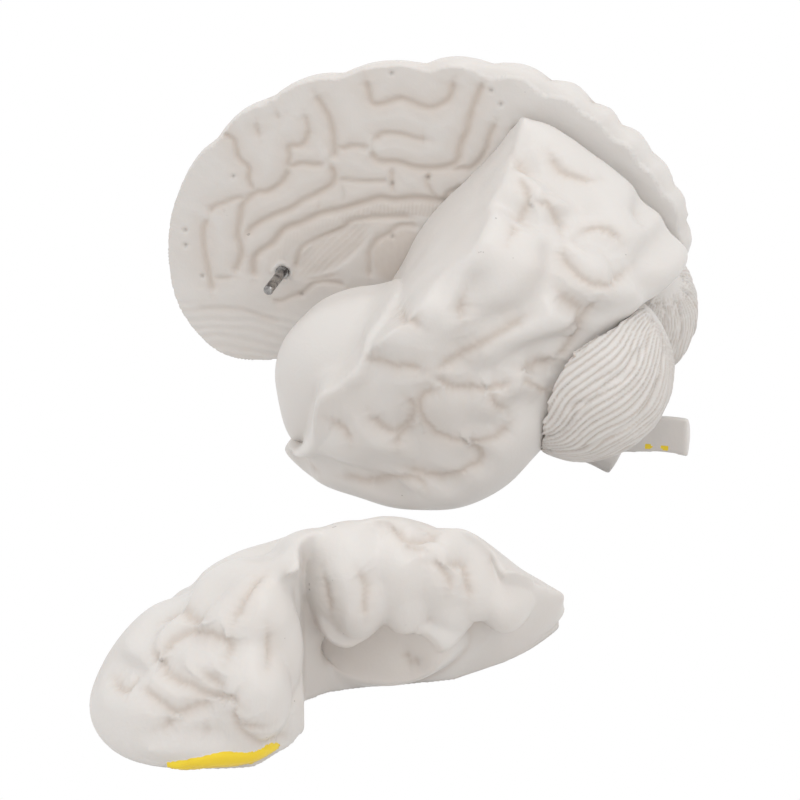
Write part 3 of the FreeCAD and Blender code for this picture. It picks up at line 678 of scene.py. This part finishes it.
def calm_folds(skin, share, scale=4.0):
    """Makes the broad relief of the outer side gentler."""
    outer = skin.blurred(smooth_step(skin.outward(), 0.25, 0.6), 2.0)
    soften(skin, share * outer, scale)


def paint_fold_shade(skin, share=1.0):
    """Broad painted shade in the broad hollows and painted shade of grooves in the tight ones."""
    skin.tint("shade", 0.4 * share * smooth_step(skin.hollow(BROAD), 0.1, 1.8))
    skin.tint("groove_shade", 0.2 * share * smooth_step(skin.hollow(TIGHT), 0.08, 0.4))


# The far half's rim is evened out round the folds' axis. The rim is as wide as RIM_WIDTH, in mm, and the
# spans are in bins of the angle.
FOLD_AXIS_X, FOLD_AXIS_Z = 5, 64
RIM_BINS = 360
RIM_WIDTH = 7
PEAK_SPAN = 6
EVEN_SPAN = 36
EVEN_WIDTH = 14.0


def even_rim(skin, share=0.92):
    """Evens out the outline of the far half's upper rim, bin by bin of the angle round the folds' axis."""
    places = skin.drawn()
    x, z = places[:, 0] - FOLD_AXIS_X, places[:, 2] - FOLD_AXIS_Z
    angle, radius = np.arctan2(z, x), np.hypot(x, z)
    index = ((angle + math.pi) / (2 * math.pi) * RIM_BINS).astype(int) % RIM_BINS
    outline = np.zeros(RIM_BINS)
    near_plane = places[:, 1] < RIM_WIDTH
    np.maximum.at(outline, index[near_plane], radius[near_plane])
    peaks = np.max([np.roll(outline, step) for step in range(-PEAK_SPAN, PEAK_SPAN + 1)], axis=0)
    steps = np.arange(-EVEN_SPAN, EVEN_SPAN + 1)
    weights = bell(steps, EVEN_WIDTH)
    smooth = sum(weight * np.roll(peaks, step) for weight, step in zip(weights, steps)) / weights.sum()
    ratio = 1 + share * (smooth / outline - 1)
    centres = (np.arange(RIM_BINS) + 0.5) / RIM_BINS * 2 * math.pi - math.pi
    scale = np.interp(angle, centres, ratio, period=2 * math.pi)
    held = (1 - smooth_step(places[:, 1], 14, 34)) * smooth_step(radius, 20, 40) * smooth_step(z, -20, 5)
    stretch = 1 + held * (scale - 1)
    moved = places.copy()
    moved[:, 0] = FOLD_AXIS_X + x * stretch
    moved[:, 2] = FOLD_AXIS_Z + z * stretch
    skin.place_drawn(moved)


def right_half():
    """The far half of the cerebrum."""
    skin = Skin("right_hemisphere", HALF_VOXEL, finer=lambda places: places[:, 1] < FINER_DEPTH)
    across = skin.drawn()[:, 1]
    rim = smooth_step(across, 1.5, 4) * (1 - smooth_step(across, 16, 30))
    soften(skin)
    even_rim(skin)
    soften(skin, 0.75 * rim, 3.2)
    calm_folds(skin, 0.5)
    skin.crease(REAR_FURROWS + FRONT_FURROWS + TOP_REAR_FURROWS, cut=1.1, width=1.3)
    paint_fold_shade(skin)
    skin.push(0.2 * waves(skin.drawn(), 15, 3))
    inner_face(skin)
    skin.finish(plastic)


# The cortex's front edge over the insula bulge, as (X, Z) places from the top of the cut wall to the pole.
CORTEX_EDGE = [(6, 80), (-1.9, 68), (-4.5, 64), (-7, 60), (-8.4, 54), (-13.4, 47.7), (-19, 43.5), (-21.6, 38),
               (-23, 32.5), (-26, 25.5), (-29, 19.5), (-33, 13)]
# The bulge goes in by BULGE_INSET at the distance BULGE_REACH from the parting plane, and less nearer to it.
BULGE_INSET, BULGE_REACH, BULGE_DROP = 12.5, 52, 6.0
EDGE_SWELL = 1.2
# The temporal lobe's front end, its pole, is lowered and drawn forward.
POLE_X, POLE_Z, POLE_SOFT_Z = -30, 29, 25
POLE_DROP, POLE_FORWARD = 5.0, 4.0


def ahead_of(line, plane):
    """How far each place lies in front of a line that runs down, in mm: negative behind it."""
    _, which = nearest(plane, line)
    before = np.maximum(which - 1, 0)
    after = np.minimum(which + 1, len(line) - 1)
    direction = line[after] - line[before]
    direction /= np.linalg.norm(direction, axis=1)[:, None]
    offset = plane - line[which]
    return offset[:, 0] * direction[:, 1] - offset[:, 1] * direction[:, 0]


def inset_bulge(skin):
    """Sinks the insula bulge behind the cortex's front edge and lowers it, and gives how much each place is
    part of it."""
    places = skin.drawn()
    x, y, z = places.T
    line, _ = smooth_line(CORTEX_EDGE, FINE_STEP)
    ahead = ahead_of(line, places[:, [0, 2]])
    outside = smooth_step(-y, 10, 30)
    low = 1 - smooth_step(z, 66, 84)
    bulge = smooth_step(ahead, -0.4, 3.2) * outside * low
    edge = bell(ahead - 0.2, 4.0) * outside * low * (ahead < 0.6)
    pole = (1 - smooth_step(x, -22, -8)) * (1 - smooth_step(z, 18, 32)) * (1 - smooth_step(ahead, 0, 3))
    moved = places.copy()
    moved[:, 1] += BULGE_INSET * bulge * (-y / BULGE_REACH)
    moved[:, 1] -= EDGE_SWELL * edge
    moved[:, 2] -= BULGE_DROP * smooth_step(ahead, 0, 9) * outside * low
    moved[:, 2] -= POLE_DROP * outside * (1 - smooth_step(np.hypot(x - POLE_X, z - POLE_Z), 5, 15))
    moved[:, 0] -= POLE_FORWARD * pole * smooth_step(-y, 10, 25)
    skin.place_drawn(moved)
    return bulge


def rear_part():
    """The near rear-lower lobe with the insula bulge."""
    skin = Skin("left_temporo_occipital_lobe", REAR_VOXEL, side=-1)
    soften(skin)
    calm_folds(skin, 0.6)
    bulge = inset_bulge(skin)
    soften(skin, 0.6 * (0.3 + 0.7 * bulge), 1.6)
    x, _, z = skin.drawn().T
    soften(skin, 0.8 * (1 - smooth_step(np.hypot(x - POLE_X, z - POLE_SOFT_Z), 5, 12)), 2.2)
    skin.crease(REAR_CREASES)
    paint_fold_shade(skin, 1 - 0.7 * bulge)
    skin.push(0.2 * waves(skin.drawn(), 15, 4))
    skin.finish(plastic)


# Rounded bodies that fill out the lying part, as (centre, half sizes along, out and up) in mm: three on the
# frontal lobe's lower side, then the folds of the operculum.
OPERCULUM = [((-37, -17, 40), (9.5, 17, 13)), ((-38, -33, 50), (9.5, 15, 12)), ((-35, -25, 51), (8, 17, 10)),
             ((-21, -38, 74), (11, 15, 13)), ((-17, -33, 73), (8, 13, 12)), ((-8, -38, 79), (9, 14, 11)),
             ((2, -37, 83), (9, 13, 11)), ((9, -34, 88), (7, 12, 11)), ((17, -31, 94), (9, 12, 12))]
# The construction's own olfactory tract, which is evened out, and the painted one that takes its place.
TRACT_OLD = [(-62, -6, 25), (-54, -6, 26), (-46, -6, 28.3), (-38, -6, 30.5), (-30, -6, 33)]
TRACT_LINE = [(-56, -1.8, 27), (-51, -2.3, 27.2), (-46, -3.1, 27.9), (-40, -4.0, 29.4), (-34, -3.8, 33.5),
              (-29.5, -2.6, 40)]
TRACT_HEIGHT = 1.1
# The recess for the insula bulge. Its upper side is drawn down toward RECESS_LOW by RECESS_FILL.
RECESS_CENTRE, RECESS_HALF = (-13, -14.5, 78), (17, 9.5, 14)
RECESS_LOW, RECESS_FILL = 73, 0.86
# Behind TIP_START the rear tip is shortened to this share of its length.
TIP_START, TIP_SHARE = 16, 0.84


def from_recess(places):
    """Distance from the recess's middle, which is 1 at its edge."""
    return np.linalg.norm((places - RECESS_CENTRE) / RECESS_HALF, axis=1)


def soften_front(skin):
    """Evens out the construction's own tract, the operculum, the frontal lobe's cheek and the rear tip."""
    places = skin.drawn()
    x, y, z = places.T
    old, _ = smooth_line(TRACT_OLD, 0.5)
    away, _ = nearest(places, old)
    raised = smooth_step(-y, 0.8, 2.2)
    tract = 0.9 * (1 - smooth_step(away, 3, 6))
    operculum = (smooth_step(x, -34, -26) * (1 - smooth_step(x, 20, 28))
                 * smooth_step(-y, 22, 30) * (1 - smooth_step(z, 88, 100)))
    cheek = smooth_step(x, -54, -47) * (1 - smooth_step(x, -32, -29)) * (1 - smooth_step(z, 56, 64))
    amount = raised * (tract + 0.5 * operculum + 0.85 * cheek)
    soften(skin, np.clip(amount, 0, 0.95), 3.0)
    soften(skin, 0.95 * raised * smooth_step(x, 18, 30), 6.0)


def slim_front(skin):
    """Flattens the lying part toward its top and rear tip, shortens the tip and fills part of the recess."""
    places = skin.drawn()
    x, y, z = places.T
    flatter = (0.05 * smooth_step(-y, 5, 40) + 0.10 * smooth_step(z, 78, 112)
               + 0.22 * smooth_step(x, 2, 24))
    recess = 1 - smooth_step(from_recess(places), 1.1, 1.5)
    moved = places.copy()
    moved[:, 1] *= 1 - flatter
    moved[:, 2] = np.where(z > RECESS_LOW, z - RECESS_FILL * recess * (z - RECESS_LOW), z)
    moved[:, 0] = np.where(x > TIP_START, TIP_START + (x - TIP_START) * TIP_SHARE, x)
    skin.place_drawn(moved)


def paint_tract(skin):
    """Raises the olfactory tract, widest in the middle of its length, and paints it yellow."""
    line, end = smooth_line(TRACT_LINE, FINE_STEP)
    away, which = nearest(skin.drawn(), line)
    half_width = 0.8 + 2.0 * np.sqrt(np.clip(end[which] / end.max(), 0, 1))
    painted = 1 - smooth_step(away / half_width, 0.9, 1.12)
    skin.push(TRACT_HEIGHT * painted * np.sqrt(np.clip(1 - (away / half_width)**2, 0, 1)))
    skin.tint("paint", painted)


def front_part():
    """The near front-upper lobe, which lies on its flat face."""
    skin = Skin("left_fronto_parietal_lobe", FRONT_VOXEL, lying=True, swellings=OPERCULUM)
    soften(skin)
    soften_front(skin)
    calm_folds(skin, 0.55)
    slim_front(skin)
    skin.crease(FRONT_CREASES, [(LOWER_CREASES, -90, -26, 62), (OPERCULAR_CREASES, -28, 20, 84)])
    paint_fold_shade(skin)
    skin.tint("shade", 0.55 * (1 - smooth_step(from_recess(skin.drawn()), 1.0, 1.25)))
    paint_tract(skin)
    skin.finish(plastic)


# The cerebellum's leaves turn round an axis that is given by its direction, through a centre in mm.
FOLIA_AXIS = np.array([38.0, 26.0, 40.0])
FOLIA_CENTRE = np.array([53.0, 25.0, 45.0])
FOLIA_COUNT = 72
FISSURE_COUNT = 11
FOLIA_DEPTH, FISSURE_DEPTH = 0.45, 0.7


def cerebellum_piece(name, side):
    """Fine leaves round the egg's axis, like the pages of a book."""
    skin = Skin(name, SMALL_VOXEL, side=side)
    soften(skin)
    places = skin.drawn() * (1, side, 1) - FOLIA_CENTRE
    axis = FOLIA_AXIS * (1, -1, 1) / np.linalg.norm(FOLIA_AXIS)
    first = np.cross(axis, (0, 1, 0))
    first /= np.linalg.norm(first)
    second = np.cross(axis, first)
    along, across, above = places @ axis, places @ first, places @ second
    angle = np.arctan2(above, across) + 0.05 * np.sin(along / 5) + 0.03 * waves(places, 16, 7)
    leaf = 0.5 + 0.5 * np.cos(angle * FOLIA_COUNT)
    split = 0.5 + 0.5 * np.cos(angle * FISSURE_COUNT + 0.9 * waves(places, 13, 12))
    ends = smooth_step(np.hypot(across, above), 5, 10)
    line = ends * smooth_step(leaf, 0.62, 1.0)
    fissure = ends * smooth_step(split, 0.86, 1.0)
    skin.push(-FOLIA_DEPTH * line - FISSURE_DEPTH * fissure + 0.25 * waves(places, 12, 13))
    # Painted shade in the leaves' grooves and in the broad hollows.
    skin.tint("groove_shade", 0.62 * line)
    skin.tint("shade", 0.5 * smooth_step(skin.hollow(BROAD), 0.1, 1.2))
    skin.finish(plastic)


# Painted nerve stubs on the far stem half's cut end, as (X, Z) places.
NERVE_STUBS = [(69, 11), (74, 11)]
STUB_RADIUS, STUB_DEPTH = 1.1, 2.5


def stem_piece(name, stubs=()):
    """Half of the brainstem, with a smooth slightly uneven skin."""
    skin = Skin(name, SMALL_VOXEL)
    soften(skin)
    places = skin.drawn()
    x, y, z = places.T
    for stub_x, stub_z in stubs:
        painted = (np.hypot(x - stub_x, z - stub_z) < STUB_RADIUS) & (y < STUB_DEPTH)
        skin.tint("paint", painted.astype(float))
    skin.tint("shade", 0.5 * smooth_step(skin.hollow(BROAD), 0.05, 0.8))
    skin.push(0.12 * waves(places, 9, 9))
    skin.finish(plastic)


def steel_pins():
    """Gives the locating pins, which stay as constructed, their steel."""
    for name in ("front_pin", "upper_rear_pin", "lower_rear_pin"):
        materials = frame["nodes"][name].data.materials
        materials.clear()
        materials.append(steel)


right_half()
rear_part()
front_part()
cerebellum_piece("right_cerebellum", 1)
cerebellum_piece("left_cerebellum", -1)
stem_piece("right_brainstem", NERVE_STUBS)
stem_piece("left_brainstem")
steel_pins()

# Camera: a long lens, 14 degrees round to the right and 25 degrees up, at a drawn X and Y and a height.
CAMERA_AZIMUTH = math.radians(14)
CAMERA_ELEVATION = math.radians(25)
CAMERA_X, CAMERA_Y, CAMERA_HEIGHT = 178.0, -751.6, 378.6
FOCAL_PIXELS = 2743
IMAGE_PIXELS = 800
SENSOR_WIDTH = 36


def place_camera():
    data = bpy.data.cameras.new("camera")
    data.sensor_width = SENSOR_WIDTH
    data.lens = FOCAL_PIXELS / IMAGE_PIXELS * SENSOR_WIDTH
    data.clip_start, data.clip_end = 0.05, 10
    camera = bpy.data.objects.new("camera", data)
    bpy.context.scene.collection.objects.link(camera)
    back = Vector((math.sin(CAMERA_AZIMUTH) * math.cos(CAMERA_ELEVATION),
                   -math.cos(CAMERA_AZIMUTH) * math.cos(CAMERA_ELEVATION),
                   math.sin(CAMERA_ELEVATION)))
    side = Vector((math.cos(CAMERA_AZIMUTH), math.sin(CAMERA_AZIMUTH), 0))
    turn = Matrix((side, back.cross(side), back)).transposed()
    place = Vector((CAMERA_X * MM + ORIGIN[0], CAMERA_Y * MM + PARTING_Y, CAMERA_HEIGHT * MM))
    camera.matrix_world = Matrix.Translation(place) @ turn.to_4x4()
    bpy.context.scene.camera = camera


# Studio: three soft lamps, each with its place and width in metres and its power, under a pale sky.
LAMP_AIM = (0, 0, 0.05)
LAMPS = {"key": ((0.75, -0.45, 1.1), 0.7, 3.2),
         "fill": ((-0.9, -0.7, 0.8), 0.9, 1.5),
         "top": ((0.0, 0.2, 1.4), 0.8, 2.5)}
SKY_STRENGTH = 0.93
FLOOR_HALF = 1.6
FLOOR_Z = -0.0002
FLOOR_COLOUR = (0.75, 0.74, 0.73, 1)


def area_lamp(name, place, width, power):
    data = bpy.data.lights.new(name, "AREA")
    data.size = width
    data.energy = power
    lamp = bpy.data.objects.new(name, data)
    lamp.location = place
    lamp.rotation_mode = "QUATERNION"
    lamp.rotation_quaternion = (Vector(LAMP_AIM) - Vector(place)).to_track_quat("-Z", "Y")
    bpy.context.scene.collection.objects.link(lamp)


def white_to_camera(tree, lit, output):
    """Shows plain white to the camera and in mirrored or see-through views, and the lit shader elsewhere."""
    paths = tree.nodes.new("ShaderNodeLightPath")
    seen = paths.outputs["Is Camera Ray"]
    for ray in ("Is Glossy Ray", "Is Transmission Ray"):
        either = tree.nodes.new("ShaderNodeMath")
        either.operation = "MAXIMUM"
        tree.links.new(seen, either.inputs[0])
        tree.links.new(paths.outputs[ray], either.inputs[1])
        seen = either.outputs[0]
    white = tree.nodes.new("ShaderNodeEmission" if output == "Material Output" else "ShaderNodeBackground")
    white.inputs["Color"].default_value = (1, 1, 1, 1)
    choose = tree.nodes.new("ShaderNodeMixShader")
    tree.links.new(seen, choose.inputs[0])
    tree.links.new(lit, choose.inputs[1])
    tree.links.new(white.outputs[0], choose.inputs[2])
    tree.links.new(choose.outputs[0], tree.nodes[output].inputs["Surface"])


def pale_sky():
    world = bpy.data.worlds.new("studio")
    bpy.context.scene.world = world
    world.use_nodes = True
    sky = world.node_tree.nodes["Background"]
    sky.inputs["Color"].default_value = (1, 1, 1, 1)
    sky.inputs["Strength"].default_value = SKY_STRENGTH
    white_to_camera(world.node_tree, sky.outputs[0], "World Output")


def studio_floor():
    """Floor that is pale to the light and clean white to the camera, as a cut-out photograph shows it."""
    corners = [(x * FLOOR_HALF, y * FLOOR_HALF, FLOOR_Z) for x, y in ((-1, -1), (1, -1), (1, 1), (-1, 1))]
    mesh = bpy.data.meshes.new("floor")
    mesh.from_pydata(corners, [], [(0, 1, 2, 3)])
    material, tree, shader = node_material("floor")
    shader.inputs["Base Color"].default_value = FLOOR_COLOUR
    shader.inputs["Roughness"].default_value = 0.8
    white_to_camera(tree, shader.outputs[0], "Material Output")
    mesh.materials.append(material)
    made = bpy.data.objects.new("floor", mesh)
    bpy.context.scene.collection.objects.link(made)
    return made


place_camera()
for lamp_name, (lamp_place, lamp_width, lamp_power) in LAMPS.items():
    area_lamp(lamp_name, lamp_place, lamp_width, lamp_power)
pale_sky()
floor = studio_floor()

bpy.context.scene.view_settings.view_transform = "Standard"
